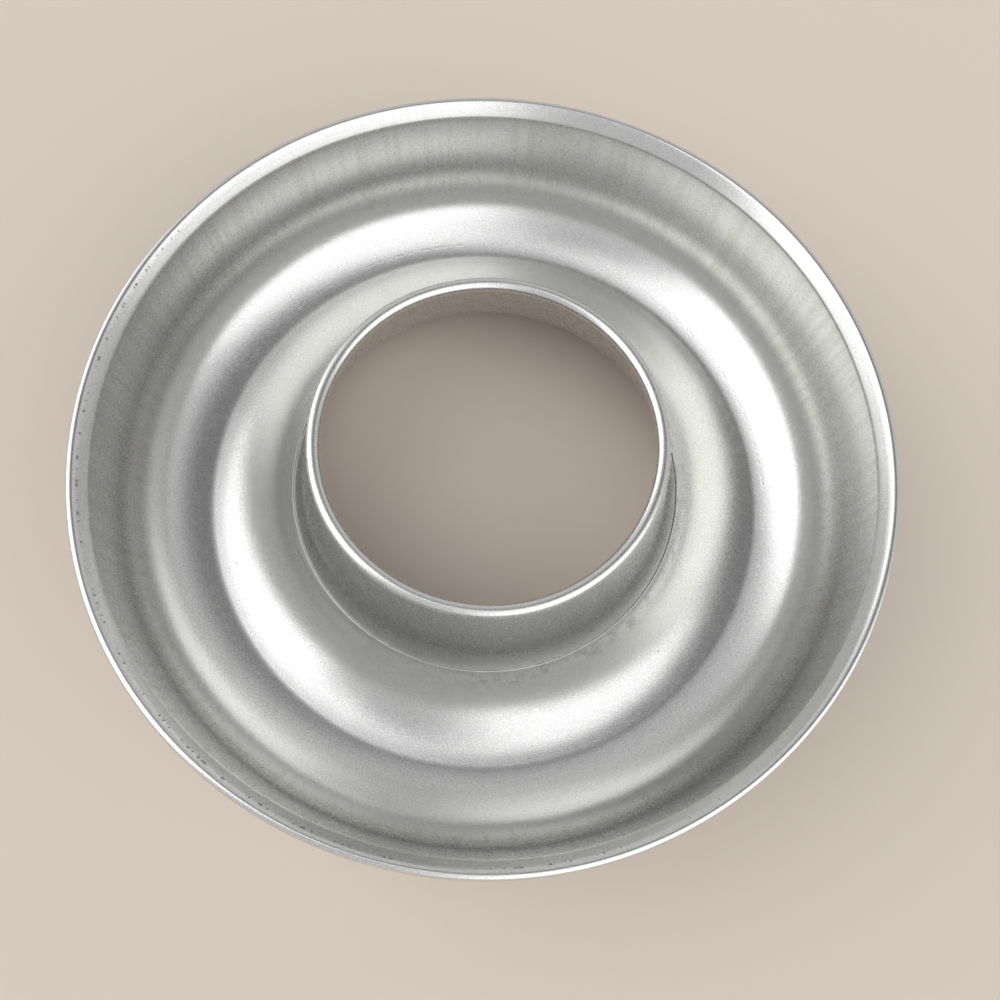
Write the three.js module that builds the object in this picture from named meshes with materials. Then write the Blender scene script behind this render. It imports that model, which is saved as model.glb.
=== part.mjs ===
// Savarin mould: a pressed aluminium ring trough and a drawn centre collar, lapped at the collar's foot.
// Both sheet edges are rolled round a stiffening wire. Millimetres, +Z up, the foot stands on Z = 0.
// Every section lies in the half plane of radius and height, and follows the middle of the sheet.
import * as THREE from 'three';

// Overall sizes
const SHEET = 0.7;
const RIM_DIAMETER = 240;
const RIM_HEIGHT = 49.3;
const HOLE_DIAMETER = 98;
const COLLAR_HEIGHT = 49;

// Pressed trough: a narrow foot ring with an oval inner side, and outside it a soft bend, a sloping floor,
// a round corner, a drafted wall and a flared lip
const FOOT_DIAMETER = 178;
const FOOT_WIDTH = 1.6;
const FOOT_BEND = 10;
const FOOT_BREAK = 13;
const FLOOR_SHARE = 0.57;
const FLOOR_SLOPE = 30;
const OUTER_DRAFT = 4;
const INNER_CORNER_RISE = 25.6;
const LIP_SLOPE = 56;
const LIP_FACE = 3.7;
const LIP_BEND = 1.6;

// Drawn collar, whose foot runs on under the trough's inner edge
const COLLAR_DRAFT = 13.1;
const COLLAR_NECK_BEND = 1.2;
const SEAM_HEIGHT = 12;
const SEAM_LAP = 5;
const SEAM_GAP = 0.3;

// Wires and the rolls around them; roll angles are counted from the outward side, upward
const RIM_WIRE = 1;
const COLLAR_WIRE = 2.2;
const WIRE_CLEARANCE = 0.3;
const WIRE_END_GAP = 2;
const RIM_ROLL_END = -115;
const COLLAR_ROLL_START = 265;
const COLLAR_ROLL_END = -35;

// Facets
const RING_FACETS = 60;
const WIRE_SIDES = 8;
const FACET_SAG = 0.06;
const SAME_POINT = 1e-6;

const HALF_TURN = 180;
const QUARTER_TURN = 90;
const rad = THREE.MathUtils.degToRad;

// A point at a distance and an angle from another one
function polar(centre, radius, degrees) {
  const angle = rad(degrees);
  return new THREE.Vector2(
    centre.x + radius * Math.cos(angle),
    centre.y + radius * Math.sin(angle),
  );
}

// Bend radius, at the middle of the sheet, of an edge rolled round a wire
function rollRadius(wire) {
  return wire / 2 + WIRE_CLEARANCE + SHEET / 2;
}

// Reach of the oval that leaves the foot level and meets a drafted inner wall without a break,
// and the oval's own angle at that meeting point
function cornerOval(centre, rise, wallPoint, draft) {
  const across = (centre.x - wallPoint.x) * Math.cos(rad(draft));
  const depth = across - (wallPoint.y - centre.y) * Math.sin(rad(draft));
  const fall = rise * Math.sin(rad(draft));
  const reach = Math.sqrt(depth * depth - fall * fall) / Math.cos(rad(draft));
  const meets = Math.asin(fall / depth);
  return { reach, meets };
}

// Closed outline of a sheet that follows a path through its middle
function sheetOutline(path) {
  const left = [];
  const right = [];
  for (const curve of path.curves) {
    if (curve.getLength() < SAME_POINT) continue;
    let steps = 1;
    if (curve.isEllipseCurve) {
      const radius = Math.max(curve.xRadius, curve.yRadius);
      const stride = 2 * radius * Math.acos(1 - FACET_SAG / radius);
      steps = Math.ceil(curve.getLength() / stride);
    }
    for (let i = left.length > 0 ? 1 : 0; i <= steps; i += 1) {
      const point = curve.getPoint(i / steps);
      const along = curve.getTangent(i / steps);
      const across = new THREE.Vector2(-along.y, along.x).multiplyScalar(SHEET / 2);
      left.push(point.clone().add(across));
      right.push(point.clone().sub(across));
    }
  }
  return [...left, ...right.reverse(), left[0].clone()];
}

// A sheet turned once round the mould's axis
function turnedSheet(path) {
  const outline = sheetOutline(path).reverse();
  return new THREE.LatheGeometry(outline, RING_FACETS).rotateX(rad(QUARTER_TURN));
}

// A wire bent to a ring that stops short of closing
class OpenRing extends THREE.Curve {
  constructor(radius, height, gap) {
    super();
    this.radius = radius;
    this.height = height;
    this.start = gap / 2 / radius;
  }

  getPoint(t, target = new THREE.Vector3()) {
    const angle = this.start + t * (2 * Math.PI - 2 * this.start);
    return target.set(this.radius * Math.cos(angle), this.radius * Math.sin(angle), this.height);
  }
}

function bentWire(diameter, centre) {
  const section = new THREE.Shape();
  section.absarc(0, 0, diameter / 2, 0, 2 * Math.PI, false);
  return new THREE.ExtrudeGeometry(section, {
    curveSegments: WIRE_SIDES / 2,
    steps: RING_FACETS,
    extrudePath: new OpenRing(centre.x, centre.y, WIRE_END_GAP),
  });
}

// Centres of the two rolls
const rimRoll = rollRadius(RIM_WIRE);
const rimCentre = new THREE.Vector2(
  RIM_DIAMETER / 2 - SHEET / 2 - rimRoll,
  RIM_HEIGHT - SHEET / 2 - rimRoll,
);
const collarRoll = rollRadius(COLLAR_WIRE);
const collarCentre = new THREE.Vector2(
  HOLE_DIAMETER / 2 + SHEET / 2 + collarRoll,
  COLLAR_HEIGHT - SHEET / 2 - collarRoll,
);

// Lip: the roll runs into a sloping face, which bends into the outer wall
const lipTurn = QUARTER_TURN + LIP_SLOPE;
const wallTurn = HALF_TURN - OUTER_DRAFT;
const lipBendCentre = polar(polar(rimCentre, rimRoll - LIP_BEND, lipTurn), LIP_FACE, HALF_TURN + LIP_SLOPE);
const outerWallTop = polar(lipBendCentre, LIP_BEND, wallTurn);

// Neck: the collar's wall bends in under its roll
const neckCentre = polar(collarCentre, collarRoll + COLLAR_NECK_BEND, COLLAR_ROLL_START);
const collarWallTop = polar(neckCentre, COLLAR_NECK_BEND, COLLAR_DRAFT);

// Outer side of the foot: the bend, the floor up to its share of the way to the wall, and the corner,
// whose radius is the one that runs into the wall without a break
const footEdge = new THREE.Vector2(FOOT_DIAMETER / 2 + FOOT_WIDTH / 2, SHEET / 2);
const wallFoot = outerWallTop.x - (outerWallTop.y - footEdge.y) * Math.tan(rad(OUTER_DRAFT));
const bendReach = Math.sin(rad(FOOT_BREAK));
const floorRun = FLOOR_SHARE * (wallFoot - footEdge.x) - FOOT_BEND * bendReach;
const floorBend = floorRun / (Math.sin(rad(FLOOR_SLOPE)) - bendReach);
const footBendCentre = new THREE.Vector2(footEdge.x, footEdge.y + FOOT_BEND);
const floorCentre = polar(footBendCentre, floorBend - FOOT_BEND, QUARTER_TURN + FOOT_BREAK);
const floorEnd = polar(floorCentre, floorBend, FLOOR_SLOPE - QUARTER_TURN);
const wallNormal = polar(new THREE.Vector2(), 1, wallTurn);
const floorToWall = floorEnd.clone().sub(outerWallTop).dot(wallNormal);
const cornerBend = floorToWall / (1 - Math.cos(rad(QUARTER_TURN - FLOOR_SLOPE - OUTER_DRAFT)));
const cornerCentre = polar(floorEnd, cornerBend, QUARTER_TURN + FLOOR_SLOPE);

// Inner side of the foot: the collar's oval lies under the trough's by one sheet and a gap
const lapStep = SHEET + SEAM_GAP;
const innerCornerCentre = new THREE.Vector2(
  FOOT_DIAMETER / 2 - FOOT_WIDTH / 2,
  SHEET / 2 + INNER_CORNER_RISE,
);
const collarRise = INNER_CORNER_RISE + lapStep;
const collarCorner = cornerOval(innerCornerCentre, collarRise, collarWallTop, COLLAR_DRAFT);

// Angle below level at which an inner oval reaches a height
function inwardAngle(rise, height) {
  return Math.asin((innerCornerCentre.y - height) / rise) - Math.PI;
}

// A bend with the sheet's outer side down, between two slopes of the sheet
function addBend(path, centre, radius, steeper, flatter) {
  path.absarc(centre.x, centre.y, radius, rad(steeper - QUARTER_TURN), rad(flatter - QUARTER_TURN), true);
}

// Trough: rolled edge, lip, outer wall, corner, floor, foot, inner oval up to the seam
const troughPath = new THREE.Path();
troughPath.absarc(rimCentre.x, rimCentre.y, rimRoll, rad(RIM_ROLL_END), rad(lipTurn), false);
troughPath.absarc(lipBendCentre.x, lipBendCentre.y, LIP_BEND, rad(lipTurn), rad(wallTurn), false);
addBend(troughPath, cornerCentre, cornerBend, QUARTER_TURN - OUTER_DRAFT, FLOOR_SLOPE);
addBend(troughPath, floorCentre, floorBend, FLOOR_SLOPE, FOOT_BREAK);
addBend(troughPath, footBendCentre, FOOT_BEND, FOOT_BREAK, 0);
troughPath.absellipse(
  innerCornerCentre.x,
  innerCornerCentre.y,
  collarCorner.reach - lapStep,
  INNER_CORNER_RISE,
  -Math.PI / 2,
  inwardAngle(INNER_CORNER_RISE, SEAM_HEIGHT),
  true,
);

// Collar: lapped foot, oval, wall, neck and rolled bead
const collarPath = new THREE.Path();
collarPath.absellipse(
  innerCornerCentre.x,
  innerCornerCentre.y,
  collarCorner.reach,
  collarRise,
  inwardAngle(collarRise, SEAM_HEIGHT - SEAM_LAP),
  collarCorner.meets - Math.PI,
  true,
);
collarPath.absarc(
  neckCentre.x,
  neckCentre.y,
  COLLAR_NECK_BEND,
  rad(COLLAR_DRAFT),
  rad(COLLAR_ROLL_START - HALF_TURN),
  false,
);
collarPath.absarc(
  collarCentre.x,
  collarCentre.y,
  collarRoll,
  rad(COLLAR_ROLL_START),
  rad(COLLAR_ROLL_END),
  true,
);

const aluminium = new THREE.MeshStandardMaterial({ color: '#c9c8c4', roughness: 0.42, metalness: 1 });
const steel = new THREE.MeshStandardMaterial({ color: '#8d8f92', roughness: 0.5, metalness: 1 });

const mould = new THREE.Group();
mould.name = 'savarin_mould';

function add(name, geometry, material) {
  const mesh = new THREE.Mesh(geometry, material);
  mesh.name = name;
  mould.add(mesh);
}

add('trough_shell', turnedSheet(troughPath), aluminium);
add('centre_collar', turnedSheet(collarPath), aluminium);
add('rim_wire', bentWire(RIM_WIRE, rimCentre), steel);
add('collar_wire', bentWire(COLLAR_WIRE, collarCentre), steel);

export default mould;
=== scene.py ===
import math
import bpy
import numpy as np
from mathutils import Matrix, Vector


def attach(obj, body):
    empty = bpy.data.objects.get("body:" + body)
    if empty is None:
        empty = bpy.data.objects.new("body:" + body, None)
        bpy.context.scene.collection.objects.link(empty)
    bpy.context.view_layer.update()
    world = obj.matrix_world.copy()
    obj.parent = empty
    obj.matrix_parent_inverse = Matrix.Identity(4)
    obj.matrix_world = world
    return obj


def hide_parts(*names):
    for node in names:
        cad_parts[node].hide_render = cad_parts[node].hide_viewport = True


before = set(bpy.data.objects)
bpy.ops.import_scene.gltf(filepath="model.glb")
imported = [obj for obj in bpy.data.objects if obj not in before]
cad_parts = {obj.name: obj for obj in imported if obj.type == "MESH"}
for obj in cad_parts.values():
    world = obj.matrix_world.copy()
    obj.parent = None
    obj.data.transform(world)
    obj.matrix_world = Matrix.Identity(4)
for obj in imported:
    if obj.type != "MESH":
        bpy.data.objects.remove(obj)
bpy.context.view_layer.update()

MM = 0.001

# Section of the mould in millimetres: the same sizes as the part's own source, but with the seam closed up and
# its upper sheet thinned toward the edge.
SHEET = 0.7
RIM_RADIUS = 120.0
RIM_HEIGHT = 49.3
HOLE_RADIUS = 49.0
COLLAR_HEIGHT = 49.0
FOOT_RADIUS = 89.0
FOOT_WIDTH = 1.6
FOOT_BEND = 10.0
FOOT_BREAK = math.radians(13)
FLOOR_SHARE = 0.57
FLOOR_SLOPE = math.radians(30)
OUTER_DRAFT = math.radians(4)
INNER_CORNER_RISE = 25.6
LIP_SLOPE = math.radians(56)
LIP_FACE = 3.7
LIP_BEND = 1.6
COLLAR_DRAFT = math.radians(13.1)
COLLAR_NECK_BEND = 1.2
SEAM_HEIGHT = 12.0
SEAM_LAP = 5.0
SEAM_GAP = 0.05
SEAM_THINNED = 6.0
RIM_WIRE = 1.0
COLLAR_WIRE = 2.2
WIRE_CLEARANCE = 0.3
RIM_ROLL_END = math.radians(-115)
COLLAR_ROLL_START = math.radians(265)
COLLAR_ROLL_END = math.radians(-35)
AROUND = 288

# Radii and heights between which the surfaces change, in millimetres
WALL_FROM, WALL_FULL = 107.0, 111.5
LIP_FROM, LIP_FULL = 115.0, 116.0
LIP_HEIGHT_FROM, LIP_HEIGHT_FULL = 44.5, 46.0
COLLAR_FROM, COLLAR_FULL = 63.0, 58.0
BEAD_FROM, BEAD_FULL = 43.0, 45.0
GRAIN_INNER = (59.0, 67.0)
GRAIN_OUTER = (109.0, 101.0)
PRESS_RING = 94.6
LIP_SCUFFS = 116.9
SEAM_DARK_RADIUS = 64.6

# Colours of the metal and its marks
GRAIN_DARK, GRAIN_PALE = (0.675, 0.679, 0.674), (0.825, 0.828, 0.822)
# Wall tones: painted shade, darker than the grain, and warmer as a painted reflection of the floor; the streak
# tone is the sheet's own draw streaks, shaded alike
WALL_SHADE_PALE, WALL_SHADE_STREAK = (0.742, 0.738, 0.708), (0.680, 0.672, 0.630)
# Collar tones: painted shade, darker than the grain; the streak tone is the sheet's own draw streaks, shaded
# alike
COLLAR_SHADE_PALE, COLLAR_SHADE_STREAK = (0.685, 0.682, 0.668), (0.625, 0.620, 0.603)
SEAM_DARK, SCUFF, PIT = (0.36, 0.355, 0.34), (0.25, 0.245, 0.235), (0.32, 0.31, 0.29)
WIRE_DARK, WIRE_PALE = (0.50, 0.51, 0.52), (0.58, 0.59, 0.60)

# Depths of the surface marks, in millimetres
GRAIN_DEPTH = 0.020
SPECKLE_DEPTH = 0.003
WAVE_DEPTH = 0.12
STREAK_DEPTH = 0.010
PRESS_MARK_DEPTH = 0.015
SCUFF_DEPTH = 0.03
PIT_DEPTH = 0.05


def polar(centre, radius, angle):
    return np.array([centre[0] + radius*math.cos(angle), centre[1] + radius*math.sin(angle)])


def arc(centre, reach, rise, start, end, step):
    """Points on an oval from one of its angles to another, about one step apart."""
    count = max(2, int(math.ceil(abs(end - start)*max(reach, rise)/step)))
    t = np.linspace(start, end, count + 1)
    return np.column_stack([centre[0] + reach*np.cos(t), centre[1] + rise*np.sin(t)])


def straight(a, b, step):
    count = max(1, int(math.ceil(np.linalg.norm(b - a)/step)))
    return a + (b - a)*np.linspace(0, 1, count + 1)[:, None]


def chain(*runs):
    """Joins runs of points end to end, filling each gap with a straight run."""
    out = runs[0]
    for run in runs[1:]:
        if np.linalg.norm(run[0] - out[-1]) > 1e-6:
            out = np.vstack([out, straight(out[-1], run[0], 1.6)[1:]])
        out = np.vstack([out, run[1:]])
    return out


def sheet_outline(mid, edge=0.18, thinned=0.0):
    """Closed outline of a sheet along its middle line, its two cut edges slightly rounded. The last stretch
    may be hammered thin from its upper side, as at a lapped seam."""
    along = np.gradient(mid, axis=0)
    along /= np.linalg.norm(along, axis=1)[:, None]
    side = np.column_stack([-along[:, 1], along[:, 0]])
    walked = np.concatenate([[0], np.cumsum(np.linalg.norm(np.diff(mid, axis=0), axis=1))])
    upper = np.full(len(mid), SHEET/2)
    if thinned:
        near_end = np.clip(1 - (walked[-1] - walked)/thinned, 0, 1)
        upper -= (SHEET - 2*edge)*near_end*near_end*(3 - 2*near_end)
    lower_side, upper_side = mid + side*SHEET/2, mid - side*upper[:, None]

    def cap(at, tangent, normal, up, down):
        turns = [(1, 60), (1, 30), (1, 0), (-1, 0), (-1, 30), (-1, 60)]
        pts = []
        for sign, deg in turns:
            reach = up if sign > 0 else down
            across = reach - edge + edge*math.sin(math.radians(deg))
            pts.append(at + normal*sign*across + tangent*edge*(math.cos(math.radians(deg)) - 1))
        return np.array(pts)

    for line in (lower_side, upper_side):
        line[0] += along[0]*edge
        line[-1] -= along[-1]*edge
    end = cap(mid[-1], along[-1], side[-1], SHEET/2, upper[-1])
    start = cap(mid[0], -along[0], -side[0], upper[0], SHEET/2)
    return np.vstack([lower_side, end, upper_side[::-1], start])


def turned(name, outline, wobble):
    """A closed outline turned once round the axis, with the slight unevenness of pressed sheet."""
    n = len(outline)
    phi = np.linspace(0, 2*math.pi, AROUND, endpoint=False)
    r, z = outline[:, 0][None, :], outline[:, 1][None, :]
    a = phi[:, None]
    r, z = wobble(r, z, a)
    co = np.stack([r*np.cos(a), r*np.sin(a), z + 0*a], axis=-1).reshape(-1, 3)*MM
    k = np.arange(AROUND)[:, None]*n
    kn = (np.arange(AROUND)[:, None] + 1) % AROUND*n
    j = np.arange(n)[None, :]
    jn = (j + 1) % n
    quads = np.stack([k + j, k + jn, kn + jn, kn + j], axis=-1).reshape(-1, 4)
    mesh = bpy.data.meshes.new(name)
    mesh.from_pydata(co.tolist(), [], quads.tolist())
    mesh.update()
    mesh.polygons.foreach_set("use_smooth", [True]*len(mesh.polygons))
    piece = bpy.data.objects.new(name, mesh)
    bpy.context.scene.collection.objects.link(piece)
    return piece


def roll_radius(wire):
    """Bend radius, at the middle of the sheet, of an edge rolled round a wire."""
    return wire/2 + WIRE_CLEARANCE + SHEET/2


def inner_oval(centre, rise, wall, draft):
    """Reach of the oval that meets a drafted inner wall without a break, and its angle at that point."""
    depth = (centre[0] - wall[0])*math.cos(draft) - (wall[1] - centre[1])*math.sin(draft)
    fall = rise*math.sin(draft)
    return math.sqrt(depth*depth - fall*fall)/math.cos(draft), math.asin(fall/depth)


rim_roll = roll_radius(RIM_WIRE)
rim_centre = np.array([RIM_RADIUS - SHEET/2 - rim_roll, RIM_HEIGHT - SHEET/2 - rim_roll])
collar_roll = roll_radius(COLLAR_WIRE)
collar_centre = np.array([HOLE_RADIUS + SHEET/2 + collar_roll, COLLAR_HEIGHT - SHEET/2 - collar_roll])
lip_turn = math.pi/2 + LIP_SLOPE
wall_turn = math.pi - OUTER_DRAFT
lip_bend_centre = polar(polar(rim_centre, rim_roll - LIP_BEND, lip_turn), LIP_FACE, math.pi + LIP_SLOPE)
outer_wall_top = polar(lip_bend_centre, LIP_BEND, wall_turn)
neck_centre = polar(collar_centre, collar_roll + COLLAR_NECK_BEND, COLLAR_ROLL_START)
collar_wall_top = polar(neck_centre, COLLAR_NECK_BEND, COLLAR_DRAFT)
lap_step = SHEET + SEAM_GAP
foot_edge = np.array([FOOT_RADIUS + FOOT_WIDTH/2, SHEET/2])
wall_foot = outer_wall_top[0] - (outer_wall_top[1] - foot_edge[1])*math.tan(OUTER_DRAFT)
floor_run = FLOOR_SHARE*(wall_foot - foot_edge[0]) - FOOT_BEND*math.sin(FOOT_BREAK)
floor_bend = floor_run/(math.sin(FLOOR_SLOPE) - math.sin(FOOT_BREAK))
foot_bend_centre = foot_edge + np.array([0, FOOT_BEND])
floor_centre = polar(foot_bend_centre, floor_bend - FOOT_BEND, math.pi/2 + FOOT_BREAK)
floor_end = polar(floor_centre, floor_bend, FLOOR_SLOPE - math.pi/2)
inward = np.array([-math.cos(OUTER_DRAFT), math.sin(OUTER_DRAFT)])
floor_inward = np.array([-math.sin(FLOOR_SLOPE), math.cos(FLOOR_SLOPE)])
corner_bend = (floor_end - outer_wall_top) @ inward/(1 - floor_inward @ inward)
corner_centre = floor_end + corner_bend*floor_inward
inner_corner_centre = np.array([FOOT_RADIUS - FOOT_WIDTH/2, SHEET/2 + INNER_CORNER_RISE])
collar_rise = INNER_CORNER_RISE + lap_step
collar_reach, collar_meets = inner_oval(inner_corner_centre, collar_rise, collar_wall_top, COLLAR_DRAFT)


def inward_angle(rise, height):
    return math.asin((inner_corner_centre[1] - height)/rise) - math.pi


trough_mid = chain(
    arc(rim_centre, rim_roll, rim_roll, RIM_ROLL_END, lip_turn, 0.3),
    arc(lip_bend_centre, LIP_BEND, LIP_BEND, lip_turn, wall_turn, 0.2),
    arc(corner_centre, corner_bend, corner_bend, -OUTER_DRAFT, FLOOR_SLOPE - math.pi/2, 0.9),
    arc(floor_centre, floor_bend, floor_bend, FLOOR_SLOPE - math.pi/2, FOOT_BREAK - math.pi/2, 0.9),
    arc(foot_bend_centre, FOOT_BEND, FOOT_BEND, FOOT_BREAK - math.pi/2, -math.pi/2, 0.6),
    arc(inner_corner_centre, collar_reach - lap_step, INNER_CORNER_RISE, -math.pi/2,
        inward_angle(INNER_CORNER_RISE, SEAM_HEIGHT), 0.9),
)
collar_mid = chain(
    arc(inner_corner_centre, collar_reach, collar_rise, inward_angle(collar_rise, SEAM_HEIGHT - SEAM_LAP),
        collar_meets - math.pi, 0.9),
    arc(neck_centre, COLLAR_NECK_BEND, COLLAR_NECK_BEND, COLLAR_DRAFT, COLLAR_ROLL_START - math.pi, 0.25),
    arc(collar_centre, collar_roll, collar_roll, COLLAR_ROLL_START, COLLAR_ROLL_END, 0.3),
)


def uneven(r, z, a):
    """Slight ovality and waviness of thin pressed sheet, none at the foot."""
    share = z/RIM_HEIGHT
    dr = share*(0.10*np.sin(2*a + 0.6) + 0.05*np.sin(5*a + 2.0) + 0.03*np.sin(9*a + 0.3))
    dz = share*(0.08*np.sin(3*a + 1.7) + 0.04*np.sin(7*a + 4.1))
    return r + dr, z + dz


trough = turned("pressed_trough", sheet_outline(trough_mid, thinned=SEAM_THINNED), uneven)
collar = turned("drawn_collar", sheet_outline(collar_mid), uneven)
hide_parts("trough_shell")
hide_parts("centre_collar")
for piece in (trough, collar):
    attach(piece, "root")


class Net:
    """Adds nodes to a shader tree and joins them."""

    def __init__(self, tree):
        self.tree = tree

    def add(self, kind, inputs, output=0, **settings):
        node = self.tree.nodes.new("ShaderNode" + kind)
        for name, value in settings.items():
            setattr(node, name, value)
        for socket, value in inputs.items():
            self.put(node.inputs[socket], value)
        return node.outputs[output]

    def put(self, socket, value):
        if isinstance(value, bpy.types.NodeSocket):
            self.tree.links.new(value, socket)
        else:
            socket.default_value = value

    def calc(self, operation, a, b=0.0, c=0.0):
        return self.add("Math", {0: a, 1: b, 2: c}, operation=operation)

    def times(self, *factors):
        out = factors[0]
        for factor in factors[1:]:
            out = self.calc("MULTIPLY", out, factor)
        return out

    def plus(self, *terms):
        out = terms[0]
        for term in terms[1:]:
            out = self.calc("ADD", out, term)
        return out

    def fade(self, value, start, end, low=0.0, high=1.0):
        """Runs smoothly from low to high as the value goes from start to end."""
        ends = {"Value": value, "From Min": start, "From Max": end, "To Min": low, "To Max": high}
        return self.add("MapRange", ends, interpolation_type="SMOOTHSTEP")

    def band(self, value, middle, half, soft):
        """1 within a half width of the middle, fading to 0 over the soft edge."""
        away = self.calc("ABSOLUTE", self.calc("SUBTRACT", value, middle))
        return self.fade(away, half + soft, half)

    def noise(self, vector, scale, detail=2.0, output=0):
        return self.add("TexNoise", {"Vector": vector, "Scale": scale, "Detail": detail}, output)

    def blend(self, factor, a, b):
        node = self.tree.nodes.new("ShaderNodeMix")
        node.data_type = "RGBA"
        self.put(node.inputs["Factor"], factor)
        for socket, colour in ((node.inputs[6], a), (node.inputs[7], b)):
            self.put(socket, colour if isinstance(colour, bpy.types.NodeSocket) else (*colour, 1.0))
        return node.outputs[2]


def metal(name):
    m = bpy.data.materials.new(name)
    m.use_nodes = True
    bsdf = m.node_tree.nodes["Principled BSDF"]
    bsdf.inputs["Metallic"].default_value = 1.0
    return m, Net(m.node_tree), bsdf


def millimetres(net):
    place = net.add("TexCoord", {}, output="Object")
    return net.add("VectorMath", {0: place, "Scale": 1000.0}, operation="SCALE")


def wire_metal():
    m, net, bsdf = metal("drawn_wire")
    grain = net.noise(millimetres(net), 1.2, 3.0)
    net.put(bsdf.inputs["Base Color"], net.blend(grain, WIRE_DARK, WIRE_PALE))
    net.put(bsdf.inputs["Roughness"], net.fade(grain, 0.3, 0.7, 0.30, 0.42))
    return m


def sheet_metal():
    """Satin aluminium with a fine grain, draw streaks on its walls, press marks, scuffs, a few pits and darker
    patches along the seam. Its walls and collar carry painted shade, and the walls also a painted warm
    reflection of the floor.
    """
    m, net, bsdf = metal("satin_aluminium")
    p = millimetres(net)
    x, y, z = net.add("SeparateXYZ", {"Vector": p}).node.outputs
    radius = net.calc("SQRT", net.plus(net.times(x, x), net.times(y, y)))
    cosine, sine = net.calc("DIVIDE", x, radius), net.calc("DIVIDE", y, radius)

    def round_the_ring(across, down):
        """Coordinates that run round the ring and, more slowly, up the section."""
        parts = {"X": net.times(cosine, across), "Y": net.times(sine, across), "Z": net.times(z, down)}
        return net.add("CombineXYZ", parts)

    # Grain of the sheet, and a slight unevenness of its press
    grain = net.noise(p, 2.6, 2.0)
    speckle = net.noise(p, 0.8, 3.0)
    waves = net.noise(p, 0.05, 1.0)
    outer_wall = net.times(net.fade(radius, WALL_FROM, WALL_FULL), net.fade(radius, LIP_FULL, LIP_FROM))
    inner_wall = net.fade(radius, COLLAR_FROM, COLLAR_FULL)
    walls = net.plus(outer_wall, inner_wall)
    streaks = net.noise(round_the_ring(110.0, 0.02), 0.35, 2.0)
    floors = net.times(net.fade(radius, *GRAIN_OUTER), net.fade(radius, *GRAIN_INNER))

    # Broken ring that the press left in the trough
    ring = net.band(radius, PRESS_RING, 0.12, 0.35)
    breaks = net.fade(net.noise(round_the_ring(PRESS_RING, 0.0), 0.55, 2.0), 0.50, 0.62)
    press_mark = net.times(ring, breaks)

    # Scuff dashes on the lip, along the left and near sides
    left_and_near = net.fade(net.plus(net.times(x, -0.0052), net.times(y, -0.0052)), 0.0, 0.35)
    on_lip = net.fade(z, LIP_HEIGHT_FROM, LIP_HEIGHT_FULL)
    lip_line = net.times(net.band(radius, LIP_SCUFFS, 0.10, 0.22), on_lip)
    dashes = net.fade(net.noise(round_the_ring(117.0, 0.0), 0.85, 2.0), 0.56, 0.64)
    scuffs = net.times(lip_line, dashes, left_and_near)

    # Darker patches along the seam, most on the right and near side
    seam_zone = net.band(radius, SEAM_DARK_RADIUS, 0.8, 2.4)
    right_and_near = net.fade(net.plus(net.times(x, 0.012), net.times(y, -0.008)), -0.3, 0.8)
    patches = net.fade(net.noise(p, 0.25, 3.0), 0.44, 0.80)
    dots = net.fade(net.noise(p, 2.2, 1.0), 0.32, 0.68, 0.3, 1.0)
    seam_dark_patches = net.times(seam_zone, patches, dots, right_and_near)

    # Sparse pits
    cells = net.add("TexVoronoi", {"Vector": p, "Scale": 0.085}, output="Distance")
    few = net.fade(net.noise(p, 0.045, 0.0), 0.50, 0.56)
    pits = net.times(net.fade(cells, 0.030, 0.016), few)

    base = net.blend(net.fade(grain, 0.34, 0.66), GRAIN_DARK, GRAIN_PALE)
    # Painted shade and painted warm floor reflection: the trough's outer wall takes a darker, warmer tone,
    # over its own draw streaks
    wall_shade_colour = net.blend(net.fade(streaks, 0.40, 0.70), WALL_SHADE_PALE, WALL_SHADE_STREAK)
    base = net.blend(net.times(outer_wall, 0.9), base, wall_shade_colour)
    # Painted shade: the collar below its bead takes a darker tone, over its own draw streaks
    collar_shade_colour = net.blend(streaks, COLLAR_SHADE_PALE, COLLAR_SHADE_STREAK)
    base = net.blend(net.times(inner_wall, net.fade(z, BEAD_FULL, BEAD_FROM), 0.9), base, collar_shade_colour)
    # Darker patches along the seam
    base = net.blend(net.times(seam_dark_patches, 0.9), base, SEAM_DARK)
    base = net.blend(net.times(scuffs, 0.85), base, SCUFF)
    base = net.blend(net.times(pits, 0.7), base, PIT)
    net.put(bsdf.inputs["Base Color"], base)
    rough = net.plus(net.fade(speckle, 0.25, 0.75, 0.21, 0.26), net.times(walls, streaks, 0.06))
    net.put(bsdf.inputs["Roughness"], net.plus(rough, net.times(net.plus(seam_dark_patches, scuffs), 0.15)))

    height = net.plus(
        net.times(grain, floors, GRAIN_DEPTH),
        net.times(speckle, floors, SPECKLE_DEPTH),
        net.times(waves, WAVE_DEPTH),
        net.times(walls, streaks, STREAK_DEPTH),
        net.times(press_mark, PRESS_MARK_DEPTH),
        net.times(scuffs, -SCUFF_DEPTH),
        net.times(pits, -PIT_DEPTH),
    )
    bump = {"Height": height, "Distance": MM, "Strength": 1.0}
    net.put(bsdf.inputs["Normal"], net.add("Bump", bump))
    return m


aluminium = sheet_metal()
steel = wire_metal()
for piece in (trough, collar):
    piece.data.materials.append(aluminium)
for node in ("rim_wire", "collar_wire"):
    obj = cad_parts[node]
    obj.data.materials.clear()
    obj.data.materials.append(steel)

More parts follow.
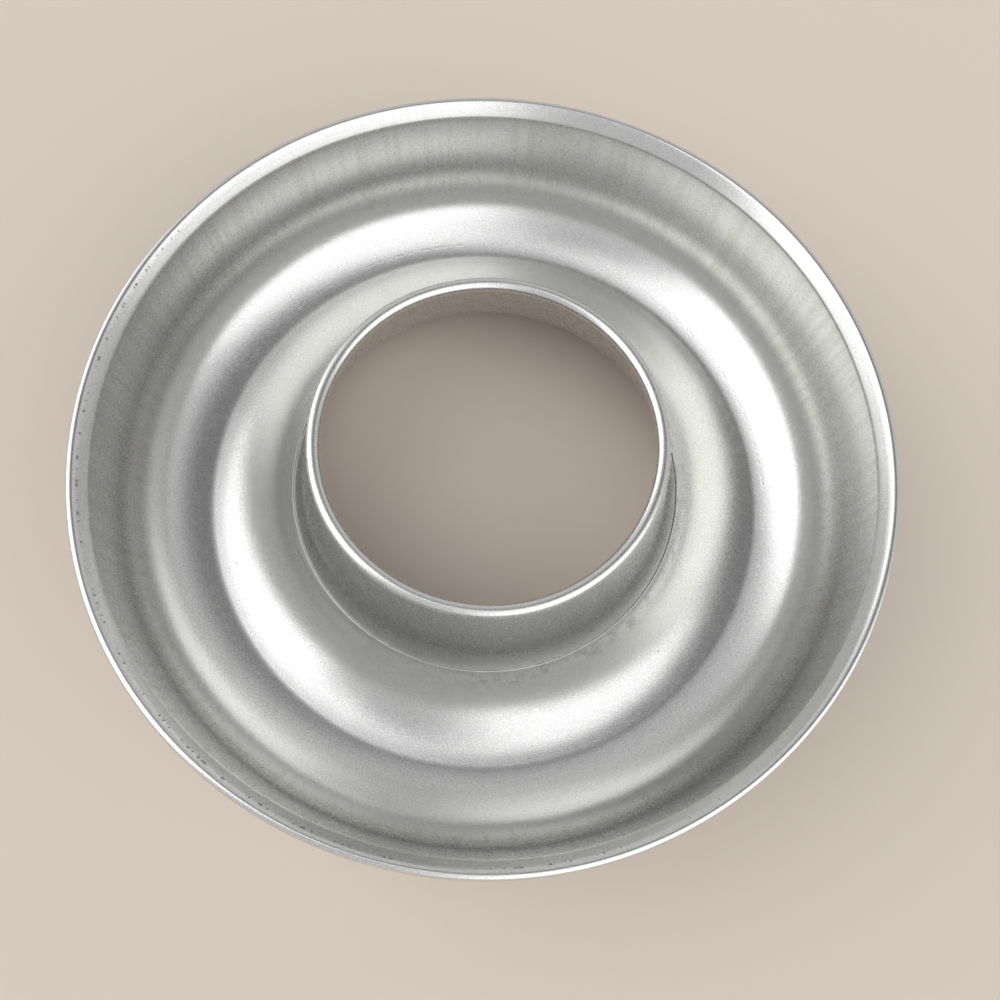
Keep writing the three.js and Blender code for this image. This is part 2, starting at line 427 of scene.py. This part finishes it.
# Pale floor, a hair below the foot so that their faces don't coincide
FLOOR_HALF = 4.0
FLOOR_DROP = 0.02*MM
FLOOR_COLOUR = (0.69, 0.605, 0.53, 1)
corners = [(x*FLOOR_HALF, y*FLOOR_HALF, -FLOOR_DROP) for x, y in ((-1, -1), (1, -1), (1, 1), (-1, 1))]
floor_mesh = bpy.data.meshes.new("floor")
floor_mesh.from_pydata(corners, [], [(0, 1, 2, 3)])
floor = bpy.data.objects.new("floor", floor_mesh)
bpy.context.scene.collection.objects.link(floor)
floor_material = bpy.data.materials.new("pale_floor")
floor_material.use_nodes = True
floor_shader = floor_material.node_tree.nodes["Principled BSDF"]
floor_shader.inputs["Base Color"].default_value = FLOOR_COLOUR
floor_shader.inputs["Roughness"].default_value = 0.9
floor_shader.inputs["Specular IOR Level"].default_value = 0.1
floor_mesh.materials.append(floor_material)

# Camera, fitted to the rim, bead and hole outlines of the photo
ELEVATION, ROLL, TURN_X, TURN_Y = 1.1881, 0.0789, -0.0110, -0.0664
DISTANCE, AIM_HEIGHT = 276.0, 48.4
LENS, SENSOR = 34.2, 36.0
back = np.array([0, -math.cos(ELEVATION), math.sin(ELEVATION)])
right = np.array([1.0, 0, 0])
up = np.cross(back, right)
rolled_right = math.cos(ROLL)*right + math.sin(ROLL)*up
rolled_up = -math.sin(ROLL)*right + math.cos(ROLL)*up
turn = Matrix.Rotation(TURN_X, 3, Vector(rolled_up)) @ Matrix.Rotation(TURN_Y, 3, Vector(rolled_right))
axes = [turn @ Vector(v) for v in (rolled_right, rolled_up, back)]
place = Vector(back*DISTANCE + np.array([0, 0, AIM_HEIGHT]))*MM
camera_data = bpy.data.cameras.new("camera")
camera_data.sensor_width = SENSOR
camera_data.lens = LENS
camera_data.clip_start = 0.01
camera = bpy.data.objects.new("camera", camera_data)
rot = Matrix(axes).transposed().to_4x4()
camera.matrix_world = Matrix.Translation(place) @ rot
bpy.context.scene.collection.objects.link(camera)
bpy.context.scene.camera = camera

# Light: a plain room with a darker ceiling and a dark gap in it, and two tall soft boxes, to the left and to
# the near right. Directions are in degrees, azimuth from the right side and zenith from straight up.
CEILING, ROOM_WALLS = 0.44, 0.58
CEILING_ENDS, WALLS_START = 22.0, 42.0
GAP_AZIMUTH, GAP_ZENITH, GAP_HALF, GAP_LEVEL = 48.0, 23.0, 17.0, 0.38
SOFT_EDGE = 10.0
world = bpy.data.worlds.new("studio")
bpy.context.scene.world = world
world.use_nodes = True
room = Net(world.node_tree)
look = room.add("TexCoord", {}, output="Generated")
look_x, look_y, look_z = room.add("SeparateXYZ", {"Vector": look}).node.outputs
azimuth = room.calc("DEGREES", room.calc("ARCTAN2", look_y, look_x))
zenith = room.calc("DEGREES", room.calc("ARCCOSINE", look_z))


def between(value, middle, half):
    """1 in a range of degrees and 0 outside it, with soft ends."""
    return room.band(value, middle, half - SOFT_EDGE, 2*SOFT_EDGE)


def softbox(middle, half_width, height, half_height, brightness):
    """A box of light round a direction, given in degrees of azimuth and from the zenith."""
    turned_by = room.calc("WRAP", room.calc("SUBTRACT", azimuth, middle), 180.0, -180.0)
    return room.times(between(turned_by, 0.0, half_width), between(zenith, height, half_height), brightness)


def toward(azimuth_deg, zenith_deg):
    a, t = math.radians(azimuth_deg), math.radians(zenith_deg)
    return math.sin(t)*math.cos(a), math.sin(t)*math.sin(a), math.cos(t)


walls_and_ceiling = room.fade(zenith, CEILING_ENDS, WALLS_START, CEILING, ROOM_WALLS)
left_box = softbox(middle=176.0, half_width=40.0, height=46.0, half_height=38.0, brightness=1.2)
right_box = softbox(middle=-45.0, half_width=45.0, height=38.0, half_height=41.0, brightness=0.94)
gap_middle = toward(GAP_AZIMUTH, GAP_ZENITH)
from_gap = room.add("VectorMath", {0: look, 1: gap_middle}, output="Value", operation="DOT_PRODUCT")
gap = between(room.calc("DEGREES", room.calc("ARCCOSINE", from_gap)), 0.0, GAP_HALF)
bright = room.plus(walls_and_ceiling, left_box, right_box)
strength = room.times(bright, room.fade(gap, 0.0, 1.0, 1.0, GAP_LEVEL))
background = world.node_tree.nodes["Background"]
background.inputs["Color"].default_value = (1, 1, 1, 1)
room.put(background.inputs["Strength"], strength)

bpy.context.scene.view_settings.view_transform = "Standard"
